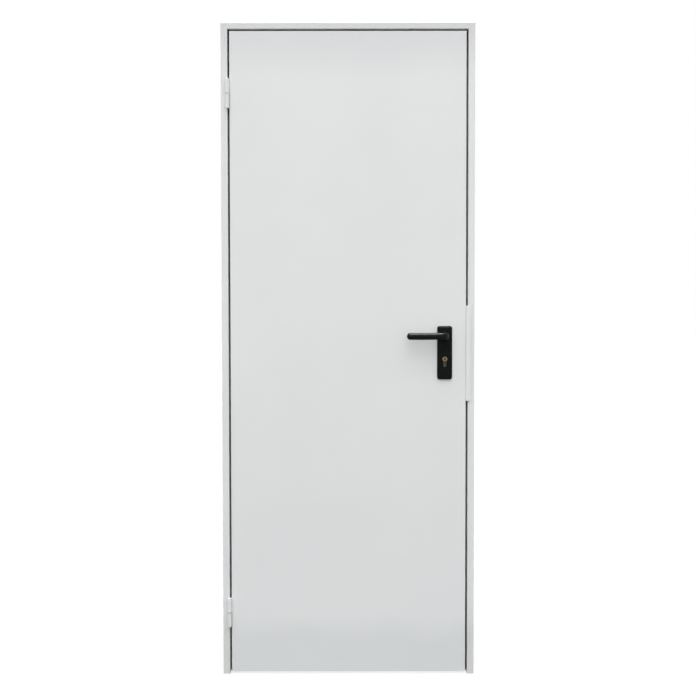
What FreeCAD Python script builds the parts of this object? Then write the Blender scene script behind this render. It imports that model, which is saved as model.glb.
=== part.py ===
"""Steel utility door: folded sheet frame, foam-filled flush leaf on lift-off hinges, lever set and lock.

Millimetres. X runs from the hinge jamb to the lock jamb, Y from front to back and Z up.
The origin lies on the hinge jamb's wall lip, at floor level and half way across the lip.
"""
import os

import FreeCAD
import Part
import Sketcher

NEAR = 0.01

SIZES = {
    "door_width": 790,
    "door_height": 2040,
    "frame_sheet": 1.5,
    "frame_bend": 1.0,
    "frame_face": 21,
    "wall_lip": 30,
    "stop_gap": 6,
    "stop_width": 18,
    "soffit_depth": 22,
    "back_lip": 12,
    "mitre_over": 5,
    "seal_width": 10,
    "seal_inset": 1.5,
    "seal_clear": 1,
    "seal_round": 2,
    "anchor_sheet": 2,
    "anchor_width": 30,
    "anchor_length": 55,
    "anchor_inset": 5,
    "anchor_hole": 8,
    "anchor_hole_inset": 12,
    "anchor_end": 250,
    "hinge_gap": 6,
    "lock_gap": 6,
    "head_gap": 6,
    "floor_gap": 8,
    "leaf_thick": 38,
    "skin_sheet": 0.8,
    "skin_bend": 0.7,
    "front_fold": 19,
    "skin_lap": 10,
    "channel_sheet": 1.2,
    "channel_height": 25,
    "channel_clear": 1,
    "core_ease": 1.5,
    "barrel_width": 12.5,
    "barrel_stand": 8,
    "knuckle_length": 44,
    "knuckle_wall": 7,
    "washer_thick": 1.4,
    "washer_clear": 0.3,
    "strap_thick": 3,
    "strap_depth": 26,
    "pin_width": 8,
    "pin_clear": 0.05,
    "pin_end_clear": 1,
    "upper_hinge_drop": 192.5,
    "lower_hinge_rise": 189,
    "hinge_axis_in": 21,
    "spindle_height": 1067.8,
    "backset": 66.5,
    "spindle_width": 8,
    "spindle_clear": 0.05,
    "cylinder_drop": 72,
    "cylinder_round": 17,
    "cylinder_stem": 10,
    "cylinder_height": 33,
    "cylinder_proud": 2.5,
    "cylinder_clear": 0.3,
    "plug_width": 13,
    "plug_length": 28,
    "plug_proud": 0.6,
    "plug_clear": 0.05,
    "key_slot_width": 1.8,
    "key_slot_height": 8.5,
    "key_slot_depth": 20,
    "plate_width": 46.5,
    "plate_height": 167,
    "plate_thick": 9,
    "plate_above": 31.2,
    "plate_corner": 7,
    "plate_bevel": 5,
    "lever_height": 20,
    "lever_depth": 18,
    "lever_neck": 18,
    "lever_reach": 45,
    "lever_length": 120,
    "lever_tip_round": 8.5,
    "lever_end_round": 6,
    "lever_bevel": 4.5,
    "lever_seat_clear": 1,
    "lever_clear": 0.1,
    "socket_depth": 22,
    "case_thick": 16,
    "case_depth": 84,
    "case_above": 48,
    "case_below": 50,
    "case_clear": 1,
    "case_hub": 18,
    "forend_thick": 3,
    "forend_width": 24,
    "forend_height": 235,
    "forend_clear": 0.5,
    "bolt_thick": 10,
    "bolt_length": 45,
    "bolt_clear": 0.3,
    "latch_height": 28,
    "latch_above": 4,
    "latch_nose": 9,
    "latch_flat": 2,
    "dead_height": 34,
    "dead_above": 6,
    "strike_clear": 4,
    "strike_box_sheet": 1,
    "strike_box_depth": 12,
    "strike_box_margin": 4,
    "guard_sheet": 1,
    "guard_bend": 0.8,
    "guard_width": 15,
    "guard_length": 298,
    "guard_middle": 1013.5,
    "guard_stand": 3,
    "guard_seat": 5,
    "guard_corner": 5,
}


class Size:
    """A dimension: its present value, and the sheet formula that gives it."""

    def __init__(self, formula, amount):
        self.formula = formula
        self.amount = float(amount)

    def __float__(self):
        return self.amount

    def __add__(self, other):
        other = as_size(other)
        return Size("(%s + %s)" % (self.formula, other.formula), self.amount + other.amount)

    def __sub__(self, other):
        other = as_size(other)
        return Size("(%s - %s)" % (self.formula, other.formula), self.amount - other.amount)

    def __mul__(self, factor):
        return Size("(%s * %s)" % (self.formula, factor), self.amount * factor)

    def __truediv__(self, divisor):
        return Size("(%s / %s)" % (self.formula, divisor), self.amount / divisor)


def as_size(number):
    """A bare number as a size of its own."""
    return number if isinstance(number, Size) else Size(str(number), number)


doc = FreeCAD.newDocument("UtilityDoor")
sheet = doc.addObject("Spreadsheet::Sheet", "Sizes")
pieces = {}
size = {}
for row, (alias, number) in enumerate(SIZES.items(), start=1):
    sheet.set("A%d" % row, alias)
    sheet.set("B%d" % row, str(number))
    sheet.setAlias("B%d" % row, alias)
    size[alias] = Size("Sizes." + alias, number)
doc.recompute()

ZERO = as_size(0)

# Planes and lines that several pieces share
front = ZERO - size["wall_lip"] / 2
leaf_back = front + size["leaf_thick"]
stop_plane = leaf_back + size["stop_gap"]
frame_back = stop_plane + size["soffit_depth"]
frame_inner = size["frame_face"] + size["stop_width"]
leaf_left = size["frame_face"] + size["hinge_gap"]
leaf_right = size["door_width"] - size["frame_face"] - size["lock_gap"]
leaf_bottom = size["floor_gap"]
leaf_top = size["door_height"] - size["frame_face"] - size["head_gap"]
leaf_middle = front + size["leaf_thick"] / 2
lock_edge = leaf_right - size["skin_sheet"]
core_left = leaf_left + size["skin_sheet"] * 2
core_right = leaf_right - size["skin_sheet"] * 2
core_front = front + size["skin_sheet"]
core_back = leaf_back - size["skin_sheet"]
spindle_x = leaf_right - size["backset"]
spindle_z = size["spindle_height"]
cylinder_z = spindle_z - size["cylinder_drop"]
hinge_x = size["hinge_axis_in"]
hinge_y = front - size["barrel_stand"]


def keep(label, thing):
    """Name a finished piece."""
    thing.Label = label
    pieces[label] = thing
    return thing


def place(thing, corner):
    """Tie a thing's base point to three sizes."""
    for axis, length in zip("xyz", corner):
        thing.setExpression("Placement.Base." + axis, length.formula)


def block(name, low, high):
    """A box between two corners."""
    box = doc.addObject("Part::Box", name)
    for side, start, end in zip(("Length", "Width", "Height"), low, high):
        box.setExpression(side, (end - start).formula)
    place(box, low)
    return box


def rod(name, axis, start, radius, length):
    """A round bar from its start point along an axis."""
    bar = doc.addObject("Part::Cylinder", name)
    turn = {"X": ((0, 1, 0), 90), "Y": ((1, 0, 0), -90), "Z": ((0, 0, 1), 0)}[axis]
    bar.Placement.Rotation = FreeCAD.Rotation(FreeCAD.Vector(*turn[0]), turn[1])
    bar.setExpression("Radius", radius.formula)
    bar.setExpression("Height", length.formula)
    place(bar, start)
    return bar


def fuse(name, things):
    """Several shapes as one solid."""
    joined = doc.addObject("Part::MultiFuse", name)
    joined.Shapes = things
    joined.Refine = True
    return joined


def cut(name, base, tools):
    """A base shape with tools taken out of it one after another."""
    for number, tool in enumerate(tools, start=1):
        step = doc.addObject("Part::Cut", "%s_%d" % (name, number))
        step.Base = base
        step.Tool = tool
        step.Refine = True
        base = step
    return base


def new_body(label):
    """An empty body for a piece drawn and padded."""
    return doc.addObject("PartDesign::Body", label)


def sketch_on(body, role, offset=ZERO):
    """A sketch on one of the body's own planes, moved along its normal."""
    sketch = body.newObject("Sketcher::SketchObject", body.Name + "_sketch")
    plane = next(feature for feature in body.Origin.OriginFeatures if feature.Role == role)
    sketch.AttachmentSupport = (plane, [""])
    sketch.MapMode = "FlatFace"
    sketch.setExpression("AttachmentOffset.Base.z", offset.formula)
    return sketch


def pin_point(sketch, line, end, spot):
    """Fix a line's end at a spot measured from the sketch's origin."""
    for kind, length in zip(("DistanceX", "DistanceY"), spot):
        rule = sketch.addConstraint(Sketcher.Constraint(kind, -1, 1, line, end, float(length)))
        sketch.setExpression("Constraints[%d]" % rule, length.formula)


def flat(spot):
    """A spot of two sizes as a point in a sketch."""
    return FreeCAD.Vector(float(spot[0]), float(spot[1]), 0)


def outline(sketch, corners):
    """A closed straight-sided outline through its corners."""
    following = corners[1:] + corners[:1]
    for start, end in zip(corners, following):
        sketch.addGeometry(Part.LineSegment(flat(start), flat(end)), False)
    for line in range(len(corners)):
        sketch.addConstraint(Sketcher.Constraint("Coincident", line, 2, (line + 1) % len(corners), 1))
    for line, corner in enumerate(corners):
        pin_point(sketch, line, 1, corner)


def circle(sketch, spot, diameter):
    """A circle at a spot."""
    ring = sketch.addGeometry(Part.Circle(flat(spot), FreeCAD.Vector(0, 0, 1), float(diameter) / 2), False)
    pin_point(sketch, ring, 3, spot)
    rule = sketch.addConstraint(Sketcher.Constraint("Diameter", ring, float(diameter)))
    sketch.setExpression("Constraints[%d]" % rule, diameter.formula)


def pad(body, sketch, length, backwards=False):
    """Stretch a sketch into a solid."""
    feature = body.newObject("PartDesign::Pad", body.Name + "_pad")
    feature.Profile = sketch
    feature.Reversed = backwards
    feature.setExpression("Length", length.formula)
    doc.recompute()
    return feature


def pocket_through(body, sketch):
    """Cut a sketch right through the body, both ways from its plane."""
    feature = body.newObject("PartDesign::Pocket", body.Name + "_pocket")
    feature.Profile = sketch
    feature.Type = "ThroughAll"
    feature.SideType = "Symmetric"
    doc.recompute()
    return feature


def round_edges(body, base, names, radius):
    """Round the named edges of a feature."""
    feature = body.newObject("PartDesign::Fillet", body.Name + "_round")
    feature.Base = (base, names)
    feature.setExpression("Radius", radius.formula)
    doc.recompute()
    return feature


def bevel_edges(body, base, names, width):
    """Bevel the named edges of a feature."""
    feature = body.newObject("PartDesign::Chamfer", body.Name + "_bevel")
    feature.Base = (base, names)
    feature.setExpression("Size", width.formula)
    doc.recompute()
    return feature


def edges_along(shape, axis, spots):
    """Names of the straight edges along an axis that pass through one of the spots."""
    across = {"X": ("y", "z"), "Y": ("x", "z"), "Z": ("x", "y")}[axis]
    names = []
    for number, edge in enumerate(shape.Edges, start=1):
        start = edge.Vertexes[0].Point
        run = edge.Vertexes[-1].Point - start
        if run.Length < NEAR or any(abs(getattr(run, name)) > NEAR for name in across):
            continue
        for spot in spots:
            if all(abs(getattr(start, name) - float(length)) < NEAR for name, length in zip(across, spot)):
                names.append("Edge%d" % number)
    return names


def edges_level(shape, axis, level):
    """Names of the edges that lie wholly in a plane across an axis."""
    names = []
    for number, edge in enumerate(shape.Edges, start=1):
        box = edge.BoundBox
        low = getattr(box, axis + "Min")
        high = getattr(box, axis + "Max")
        if abs(low - float(level)) < NEAR and abs(high - float(level)) < NEAR:
            names.append("Edge%d" % number)
    return names


def outward(face, side, distance):
    """A depth that stands a distance off the leaf's front (side -1) or back (side 1) face."""
    return face - distance if side < 0 else face + distance


# Frame: one folded sheet section, cut at 45 degrees where the head meets the jambs
def frame_section():
    """Corners as (distance in from the outer edge, depth), with the wide and tight sides of each fold."""
    sheet_thick = size["frame_sheet"]
    lip_end = front + size["wall_lip"]
    face = size["frame_face"]
    lip_inner = frame_inner - size["back_lip"]
    seen = [
        (ZERO, lip_end),
        (ZERO, front),
        (face, front),
        (face, stop_plane),
        (frame_inner, stop_plane),
        (frame_inner, frame_back),
        (lip_inner, frame_back),
    ]
    hidden = [
        (lip_inner, frame_back - sheet_thick),
        (frame_inner - sheet_thick, frame_back - sheet_thick),
        (frame_inner - sheet_thick, stop_plane + sheet_thick),
        (face - sheet_thick, stop_plane + sheet_thick),
        (face - sheet_thick, front + sheet_thick),
        (sheet_thick, front + sheet_thick),
        (sheet_thick, lip_end),
    ]
    wide = [seen[1], seen[2], hidden[3], seen[4], seen[5]]
    tight = [hidden[5], hidden[4], seen[3], hidden[2], hidden[1]]
    return seen + hidden, wide, tight


def frame_member(label, role, axis, turn, length, mitres):
    """One length of the frame section, with its mitre cuts."""
    body = new_body(label)
    corners, wide, tight = frame_section()
    sketch = sketch_on(body, role)
    outline(sketch, [turn(*corner) for corner in corners])
    feature = pad(body, sketch, length)
    wide_radius = size["frame_bend"] + size["frame_sheet"]
    for spots, radius in ((wide, wide_radius), (tight, size["frame_bend"])):
        names = edges_along(feature.Shape, axis, [turn(*spot) for spot in spots])
        feature = round_edges(body, feature, names, radius)
    for mitre in mitres:
        mitre_sketch = sketch_on(body, "XZ_Plane")
        outline(mitre_sketch, mitre)
        feature = pocket_through(body, mitre_sketch)
    return body


over = size["mitre_over"]
mitre_top = size["door_height"] + over
mitre_foot = size["door_height"] - frame_inner - over
mitre_left = ZERO - over
mitre_left_inner = frame_inner + over
mitre_right = size["door_width"] + over
mitre_right_inner = size["door_width"] - frame_inner - over
left_upper = [(mitre_left, mitre_top), (mitre_left_inner, mitre_top), (mitre_left_inner, mitre_foot)]
left_lower = [(mitre_left, mitre_top), (mitre_left, mitre_foot), (mitre_left_inner, mitre_foot)]
right_upper = [(mitre_right, mitre_top), (mitre_right_inner, mitre_top), (mitre_right_inner, mitre_foot)]
right_lower = [(mitre_right, mitre_top), (mitre_right, mitre_foot), (mitre_right_inner, mitre_foot)]

hinge_jamb = frame_member(
    "hinge_jamb", "XY_Plane", "Z", lambda inward, depth: (inward, depth), size["door_height"], [left_upper])
lock_jamb_blank = frame_member(
    "lock_jamb_blank", "XY_Plane", "Z", lambda inward, depth: (size["door_width"] - inward, depth),
    size["door_height"], [right_upper])
frame_head = frame_member(
    "frame_head", "YZ_Plane", "X", lambda inward, depth: (depth, size["door_height"] - inward),
    size["door_width"], [left_lower, right_lower])
keep("hinge_jamb", hinge_jamb)
keep("frame_head", frame_head)

# Strike slots: punched through the lock jamb's rebate wall opposite the two bolts
latch_z = spindle_z + size["latch_above"]
dead_z = cylinder_z + size["dead_above"]
bolt_front = leaf_middle - size["bolt_thick"] / 2
bolt_back = leaf_middle + size["bolt_thick"] / 2
rebate_right = size["door_width"] - size["frame_face"]


def strike_slot(name, middle, height):
    """The opening for one bolt, with room all round it."""
    room = size["strike_clear"]
    reach = height / 2 + room
    low = (rebate_right - over, bolt_front - room, middle - reach)
    high = (rebate_right + size["frame_sheet"] + over, bolt_back + room, middle + reach)
    return block(name, low, high)


strike_slots = [
    strike_slot("latch_strike", latch_z, size["latch_height"]),
    strike_slot("dead_strike", dead_z, size["dead_height"]),
]
keep("lock_jamb", cut("lock_jamb_punched", lock_jamb_blank, strike_slots))

# Strike box: sheet cap behind the slots that keeps the wall filling out of them
cap_room = size["strike_clear"] + size["strike_box_margin"]
cap_left = rebate_right + size["frame_sheet"]
cap_right = cap_left + size["strike_box_depth"]
cap_front = bolt_front - cap_room
cap_back = bolt_back + cap_room
cap_low = dead_z - size["dead_height"] / 2 - cap_room
cap_high = latch_z + size["latch_height"] / 2 + cap_room
cap_wall = size["strike_box_sheet"]
cap_blank = block("strike_box_blank", (cap_left, cap_front, cap_low), (cap_right, cap_back, cap_high))
cap_hollow = block(
    "strike_box_hollow", (cap_left - over, cap_front + cap_wall, cap_low + cap_wall),
    (cap_right - cap_wall, cap_back - cap_wall, cap_high - cap_wall))
keep("strike_box", cut("strike_box_cut", cap_blank, [cap_hollow]))


# Seals: rubber strips on the stop, in the corner of the rebate
def seal(label, role, axis, near, far, length, offset):
    """A strip between two lines across the stop, with its leaf side rounded."""
    body = new_body(label)
    seal_face = leaf_back + size["seal_clear"]
    corners = [near(seal_face), far(seal_face), far(stop_plane), near(stop_plane)]
    sketch = sketch_on(body, role, offset)
    outline(sketch, corners)
    feature = pad(body, sketch, length)
    names = edges_along(feature.Shape, axis, corners[:2])
    round_edges(body, feature, names, size["seal_round"])
    return keep(label, body)


seal_outer = size["frame_face"] + size["seal_inset"]
seal_inner = seal_outer + size["seal_width"]
seal_left = (seal_outer, seal_inner)
seal_right = (size["door_width"] - seal_inner, size["door_width"] - seal_outer)
for seal_name, (first, second) in (("hinge_seal", seal_left), ("lock_seal", seal_right)):
    seal(
        seal_name, "XY_Plane", "Z",
        lambda depth, line=first: (line, depth), lambda depth, line=second: (line, depth),
        size["door_height"] - seal_inner, ZERO)
seal(
    "head_seal", "YZ_Plane", "X",
    lambda depth: (depth, size["door_height"] - seal_inner),
    lambda depth: (depth, size["door_height"] - seal_outer),
    size["door_width"] - seal_outer * 2, seal_outer)

# Wall anchors: flat straps welded inside the wall lips, to be bent into the wall
anchor_front = front + size["anchor_inset"]
anchor_back = anchor_front + size["anchor_length"]
anchor_inner = size["frame_sheet"] + size["anchor_sheet"]
anchor_levels = {
    "low": size["anchor_end"],
    "middle": size["door_height"] / 2,
    "top": size["door_height"] - size["anchor_end"],
}
anchor_sides = {
    "hinge": (size["frame_sheet"], anchor_inner),
    "lock": (size["door_width"] - anchor_inner, size["door_width"] - size["frame_sheet"]),
}
for side_name, (low_x, high_x) in anchor_sides.items():
    for level, middle in anchor_levels.items():
        label = "%s_anchor_%s" % (side_name, level)
        half = size["anchor_width"] / 2
        strap = block(label + "_strap", (low_x, anchor_front, middle - half), (high_x, anchor_back, middle + half))
        hole_start = (low_x - over, anchor_back - size["anchor_hole_inset"], middle)
        hole = rod(label + "_hole", "X", hole_start, size["anchor_hole"] / 2, size["anchor_sheet"] + over * 2)
        keep(label, cut(label + "_cut", strap, [hole]))


# Hinges: two knuckles on one pin, the lower on the frame and the upper lifting off with the leaf
def knuckle(label, low, strap_left, strap_right, bore_low, bore_length):
    """A barrel, a strap that runs back beside the leaf, and a blind pin hole."""
    length = size["knuckle_length"]
    barrel = rod(label + "_barrel", "Z", (hinge_x, hinge_y, low), size["barrel_width"] / 2, length)
    strap = block(
        label + "_strap", (strap_left, hinge_y, low), (strap_right, front + size["strap_depth"], low + length))
    bore = rod(
        label + "_bore", "Z", (hinge_x, hinge_y, bore_low), size["pin_width"] / 2 + size["pin_clear"], bore_length)
    return keep(label, cut(label + "_bored", fuse(label + "_blank", [barrel, strap]), [bore]))


seat_depth = size["knuckle_length"] - size["knuckle_wall"]
hinge_splits = {
    "upper": leaf_top - size["upper_hinge_drop"],
    "lower": leaf_bottom + size["lower_hinge_rise"],
}
for hinge_name, split in hinge_splits.items():
    washer_low = split - size["washer_thick"] / 2
    frame_low = washer_low - size["knuckle_length"]
    leaf_low = washer_low + size["washer_thick"] + size["washer_clear"]
    pin_low = washer_low - seat_depth
    pin_top = leaf_low + seat_depth - size["pin_end_clear"]
    knuckle(
        hinge_name + "_hinge_frame_knuckle", frame_low, size["frame_face"],
        size["frame_face"] + size["strap_thick"], pin_low, seat_depth + over)
    knuckle(
        hinge_name + "_hinge_leaf_knuckle", leaf_low, leaf_left - size["strap_thick"], leaf_left,
        leaf_low - over, seat_depth + over)
    keep(
        hinge_name + "_hinge_pin",
        rod(hinge_name + "_pin", "Z", (hinge_x, hinge_y, pin_low), size["pin_width"] / 2, pin_top - pin_low))
    washer = rod(
        hinge_name + "_washer_disc", "Z", (hinge_x, hinge_y, washer_low), size["barrel_width"] / 2,
        size["washer_thick"])
    washer_hole = rod(
        hinge_name + "_washer_hole", "Z", (hinge_x, hinge_y, washer_low - over),
        size["pin_width"] / 2 + size["pin_clear"], size["washer_thick"] + over * 2)
    keep(hinge_name + "_hinge_washer", cut(hinge_name + "_washer_cut", washer, [washer_hole]))


# Openings through the leaf: lock face slot, spindle hole and keyhole outline
def keyhole_prism(name, grow, low, high):
    """The lock cylinder's outline grown by a clearance, from one depth to another."""
    stem_half = size["cylinder_stem"] / 2
    foot_z = cylinder_z - (size["cylinder_height"] - size["cylinder_round"] / 2 - stem_half)
    round_part = rod(
        name + "_round", "Y", (spindle_x, low, cylinder_z), size["cylinder_round"] / 2 + grow, high - low)
    stem = block(
        name + "_stem", (spindle_x - stem_half - grow, low, foot_z), (spindle_x + stem_half + grow, high, cylinder_z))
    foot = rod(name + "_foot", "Y", (spindle_x, low, foot_z), stem_half + grow, high - low)
    return fuse(name, [round_part, stem, foot])


through_front = front - over
through_back = leaf_back + over
forend_middle = (latch_z + dead_z) / 2
forend_half = size["forend_height"] / 2
forend_front = leaf_middle - size["forend_width"] / 2
forend_back = leaf_middle + size["forend_width"] / 2
forend_room = size["forend_clear"]
forend_slot = block(
    "forend_slot",
    (lock_edge - size["forend_thick"] - over, forend_front - forend_room, forend_middle - forend_half - forend_room),
    (leaf_right + over, forend_back + forend_room, forend_middle + forend_half + forend_room))
spindle_hole = rod(
    "spindle_hole", "Y", (spindle_x, through_front, spindle_z), size["case_hub"] / 2, through_back - through_front)
keyhole = keyhole_prism("keyhole", size["cylinder_clear"], through_front, through_back)


# Leaf skins: two folded trays, the back one nested inside the edges of the front one
def skin(label, corners, wide, tight):
    """One folded skin from the leaf's bottom to its top, punched for the lock."""
    body = new_body(label + "_tray")
    sketch = sketch_on(body, "XY_Plane", leaf_bottom)
    outline(sketch, corners)
    feature = pad(body, sketch, leaf_top - leaf_bottom)
    for spots, radius in ((wide, size["skin_bend"] + size["skin_sheet"]), (tight, size["skin_bend"])):
        feature = round_edges(body, feature, edges_along(feature.Shape, "Z", spots), radius)
    return keep(label, cut(label + "_punched", body, [forend_slot, spindle_hole, keyhole]))


fold_end = front + size["front_fold"]
front_outer = [(leaf_left, front), (leaf_right, front)]
front_inner = [(lock_edge, core_front), (leaf_left + size["skin_sheet"], core_front)]
skin(
    "leaf_front_skin",
    [(leaf_left, fold_end)] + front_outer + [(leaf_right, fold_end), (lock_edge, fold_end)]
    + front_inner + [(leaf_left + size["skin_sheet"], fold_end)],
    front_outer, front_inner)
lap_start = fold_end - size["skin_lap"]
back_outer = [(lock_edge, leaf_back), (leaf_left + size["skin_sheet"], leaf_back)]
back_inner = [(core_left, core_back), (core_right, core_back)]
skin(
    "leaf_back_skin",
    [(lock_edge, lap_start)] + back_outer + [(leaf_left + size["skin_sheet"], lap_start), (core_left, lap_start)]
    + back_inner + [(core_right, lap_start)],
    back_outer, back_inner)


# Edge channels: folded sections that close the leaf's top and bottom between the skins
def edge_channel(label, edge, inward):
    """A channel with its web on the leaf's edge and its flanges pointing into the leaf."""
    body = new_body(label)
    wall = size["channel_sheet"]
    web = outward(edge, inward, wall)
    mouth = outward(edge, inward, size["channel_height"])
    sketch = sketch_on(body, "YZ_Plane", core_left + size["channel_clear"])
    outline(sketch, [
        (core_front, edge), (core_back, edge), (core_back, mouth), (core_back - wall, mouth),
        (core_back - wall, web), (core_front + wall, web), (core_front + wall, mouth), (core_front, mouth),
    ])
    pad(body, sketch, core_right - core_left - size["channel_clear"] * 2)
    return keep(label, body)


edge_channel("leaf_top_channel", leaf_top, -1)
edge_channel("leaf_bottom_channel", leaf_bottom, 1)

# Lock: case, face plate and two bolts drawn back level with the face plate
case_right = lock_edge - size["forend_thick"]
case_left = case_right - size["case_depth"]
case_front = leaf_middle - size["case_thick"] / 2
case_back = leaf_middle + size["case_thick"] / 2
case_low = cylinder_z - size["case_below"]
case_high = spindle_z + size["case_above"]


def bolt_block(name, middle, height, room):
    """One bolt's bar, grown by a clearance when it is the bolt's own opening."""
    reach = height / 2 + room
    return block(
        name, (lock_edge - size["bolt_length"] - room, bolt_front - room, middle - reach),
        (lock_edge + room, bolt_back + room, middle + reach))


bolt_rooms = [
    bolt_block("latch_room", latch_z, size["latch_height"], size["bolt_clear"]),
    bolt_block("dead_room", dead_z, size["dead_height"], size["bolt_clear"]),
]
case_blank = block("case_blank", (case_left, case_front, case_low), (case_right, case_back, case_high))
keep("lock_case", cut("case_cut", case_blank, bolt_rooms + [spindle_hole, keyhole]))
forend_blank = block(
    "forend_blank", (case_right, forend_front, forend_middle - forend_half),
    (lock_edge, forend_back, forend_middle + forend_half))
keep("lock_forend", cut("forend_cut", forend_blank, bolt_rooms))
keep("dead_bolt", bolt_block("dead_bar", dead_z, size["dead_height"], ZERO))
latch_body = new_body("latch_bolt")
latch_left = lock_edge - size["bolt_length"]
latch_sketch = sketch_on(latch_body, "XY_Plane", latch_z - size["latch_height"] / 2)
outline(latch_sketch, [
    (latch_left, bolt_front), (lock_edge, bolt_front), (lock_edge, bolt_front + size["latch_flat"]),
    (lock_edge - size["latch_nose"], bolt_back), (latch_left, bolt_back),
])
pad(latch_body, latch_sketch, size["latch_height"])
keep("latch_bolt", latch_body)

# Core: foam block between the skins, eased at the back skin's folds, with room for the lock
room = size["case_clear"]
core_blank = new_body("core_blank")
core_low = leaf_bottom + size["channel_height"]
core_high = leaf_top - size["channel_height"]
core_turn = core_back - size["core_ease"]
core_sketch = sketch_on(core_blank, "XY_Plane", core_low)
outline(core_sketch, [
    (core_left, core_front), (core_right, core_front), (core_right, core_turn),
    (core_right - size["core_ease"], core_back), (core_left + size["core_ease"], core_back), (core_left, core_turn),
])
pad(core_blank, core_sketch, core_high - core_low)
case_room = block(
    "case_room", (case_left - room, through_front, case_low - room),
    (leaf_right + over, through_back, case_high + room))
keep("leaf_core", cut("core_cut", core_blank, [case_room, forend_slot]))


# Handle plates: bevelled black plates on both faces of the leaf
plate_high = spindle_z + size["plate_above"]
plate_low = plate_high - size["plate_height"]
plate_left = spindle_x - size["plate_width"] / 2
plate_right = spindle_x + size["plate_width"] / 2
plate_front = front - size["plate_thick"]
plate_back = leaf_back + size["plate_thick"]
neck_start = plate_front - over
neck_bore = rod(
    "neck_bore", "Y", (spindle_x, neck_start, spindle_z), size["lever_neck"] / 2 + size["lever_clear"],
    plate_back + over - neck_start)
plate_keyhole = keyhole_prism("plate_keyhole", size["cylinder_clear"], neck_start, plate_back + over)


def handle_plate(label, face, side):
    """A plate with round corners and a bevelled rim, bored for the lever and the cylinder."""
    body = new_body(label + "_blank")
    sketch = sketch_on(body, "XZ_Plane", ZERO - face)
    corners = [(plate_left, plate_low), (plate_right, plate_low), (plate_right, plate_high), (plate_left, plate_high)]
    outline(sketch, corners)
    feature = pad(body, sketch, size["plate_thick"], backwards=side > 0)
    feature = round_edges(body, feature, edges_along(feature.Shape, "Y", corners), size["plate_corner"])
    outer = outward(face, side, size["plate_thick"])
    bevel_edges(body, feature, edges_level(feature.Shape, "Y", outer), size["plate_bevel"])
    return keep(label, cut(label + "_bored", body, [neck_bore, plate_keyhole]))


handle_plate("front_plate", front, -1)
handle_plate("back_plate", leaf_back, 1)

# Lock cylinder: brass body with the keyhole outline and a slotted plug at each end
cylinder_front = plate_front - size["cylinder_proud"]
cylinder_back = plate_back + size["cylinder_proud"]
plug_radius = size["plug_width"] / 2
plug_bore_length = size["plug_length"] + over


def plug(label, low, slot_low):
    """A round plug with its key slot."""
    turned = rod(label + "_turned", "Y", (spindle_x, low, cylinder_z), plug_radius, size["plug_length"])
    slot_half = size["key_slot_width"] / 2
    slot_reach = size["key_slot_height"] / 2
    slot = block(
        label + "_slot", (spindle_x - slot_half, slot_low, cylinder_z - slot_reach),
        (spindle_x + slot_half, slot_low + size["key_slot_depth"] + over, cylinder_z + slot_reach))
    return keep(label, cut(label + "_cut", turned, [slot]))


front_plug_low = cylinder_front - size["plug_proud"]
back_plug_high = cylinder_back + size["plug_proud"]
back_plug_low = back_plug_high - size["plug_length"]
plug_bore_radius = plug_radius + size["plug_clear"]
plug_bores = [
    rod("front_plug_bore", "Y", (spindle_x, front_plug_low - over, cylinder_z), plug_bore_radius, plug_bore_length),
    rod("back_plug_bore", "Y", (spindle_x, back_plug_low, cylinder_z), plug_bore_radius, plug_bore_length),
]
cylinder_blank = keyhole_prism("cylinder_blank", ZERO, cylinder_front, cylinder_back)
keep("lock_cylinder", cut("cylinder_bored", cylinder_blank, plug_bores))
plug("front_plug", front_plug_low, front_plug_low - over)
plug("back_plug", back_plug_low, back_plug_high - size["key_slot_depth"])


# Levers: a round neck and a bevelled grip each, on a square spindle through the leaf
def lever(label, face, side):
    """A grip towards the hinges with a rounded tip, and a neck from behind its end into the plate."""
    body = new_body(label)
    half_height = size["lever_height"] / 2
    half_depth = size["lever_depth"] / 2
    neck_y = outward(face, side, size["lever_seat_clear"])
    near_y = outward(face, side, size["lever_reach"] - half_depth)
    far_y = outward(face, side, size["lever_reach"] + half_depth)
    tip_x = spindle_x - size["lever_length"]
    end_x = spindle_x + half_height
    low_z = spindle_z - half_height
    high_z = spindle_z + half_height
    tip_corners = [(tip_x, low_z), (tip_x, high_z)]
    end_corners = [(end_x, low_z), (end_x, high_z)]

    grip_sketch = sketch_on(body, "XZ_Plane", ZERO - near_y)
    outline(grip_sketch, [tip_corners[0], end_corners[0], end_corners[1], tip_corners[1]])
    grip = pad(body, grip_sketch, size["lever_depth"], backwards=side > 0)
    for corners, radius in ((tip_corners, size["lever_tip_round"]), (end_corners, size["lever_end_round"])):
        grip = round_edges(body, grip, edges_along(grip.Shape, "Y", corners), radius)
    rims = edges_level(grip.Shape, "Y", near_y) + edges_level(grip.Shape, "Y", far_y)
    bevel_edges(body, grip, rims, size["lever_bevel"])

    neck_sketch = sketch_on(body, "XZ_Plane", ZERO - neck_y)
    circle(neck_sketch, (spindle_x, spindle_z), size["lever_neck"])
    pad(body, neck_sketch, size["lever_reach"] - size["lever_seat_clear"], backwards=side > 0)

    half = size["spindle_width"] / 2 + size["spindle_clear"]
    socket = sketch_on(body, "XZ_Plane", ZERO - neck_y)
    outline(socket, [
        (spindle_x - half, spindle_z - half), (spindle_x + half, spindle_z - half),
        (spindle_x + half, spindle_z + half), (spindle_x - half, spindle_z + half),
    ])
    hollow = body.newObject("PartDesign::Pocket", label + "_socket")
    hollow.Profile = socket
    hollow.Reversed = side < 0
    hollow.setExpression("Length", size["socket_depth"].formula)
    doc.recompute()
    return keep(label, body)


lever("front_lever", front, -1)
lever("back_lever", leaf_back, 1)
spindle_half = size["spindle_width"] / 2
socket_end = size["lever_seat_clear"] + size["socket_depth"]
keep("spindle", block(
    "spindle_bar", (spindle_x - spindle_half, front - socket_end, spindle_z - spindle_half),
    (spindle_x + spindle_half, leaf_back + socket_end, spindle_z + spindle_half)))

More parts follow.
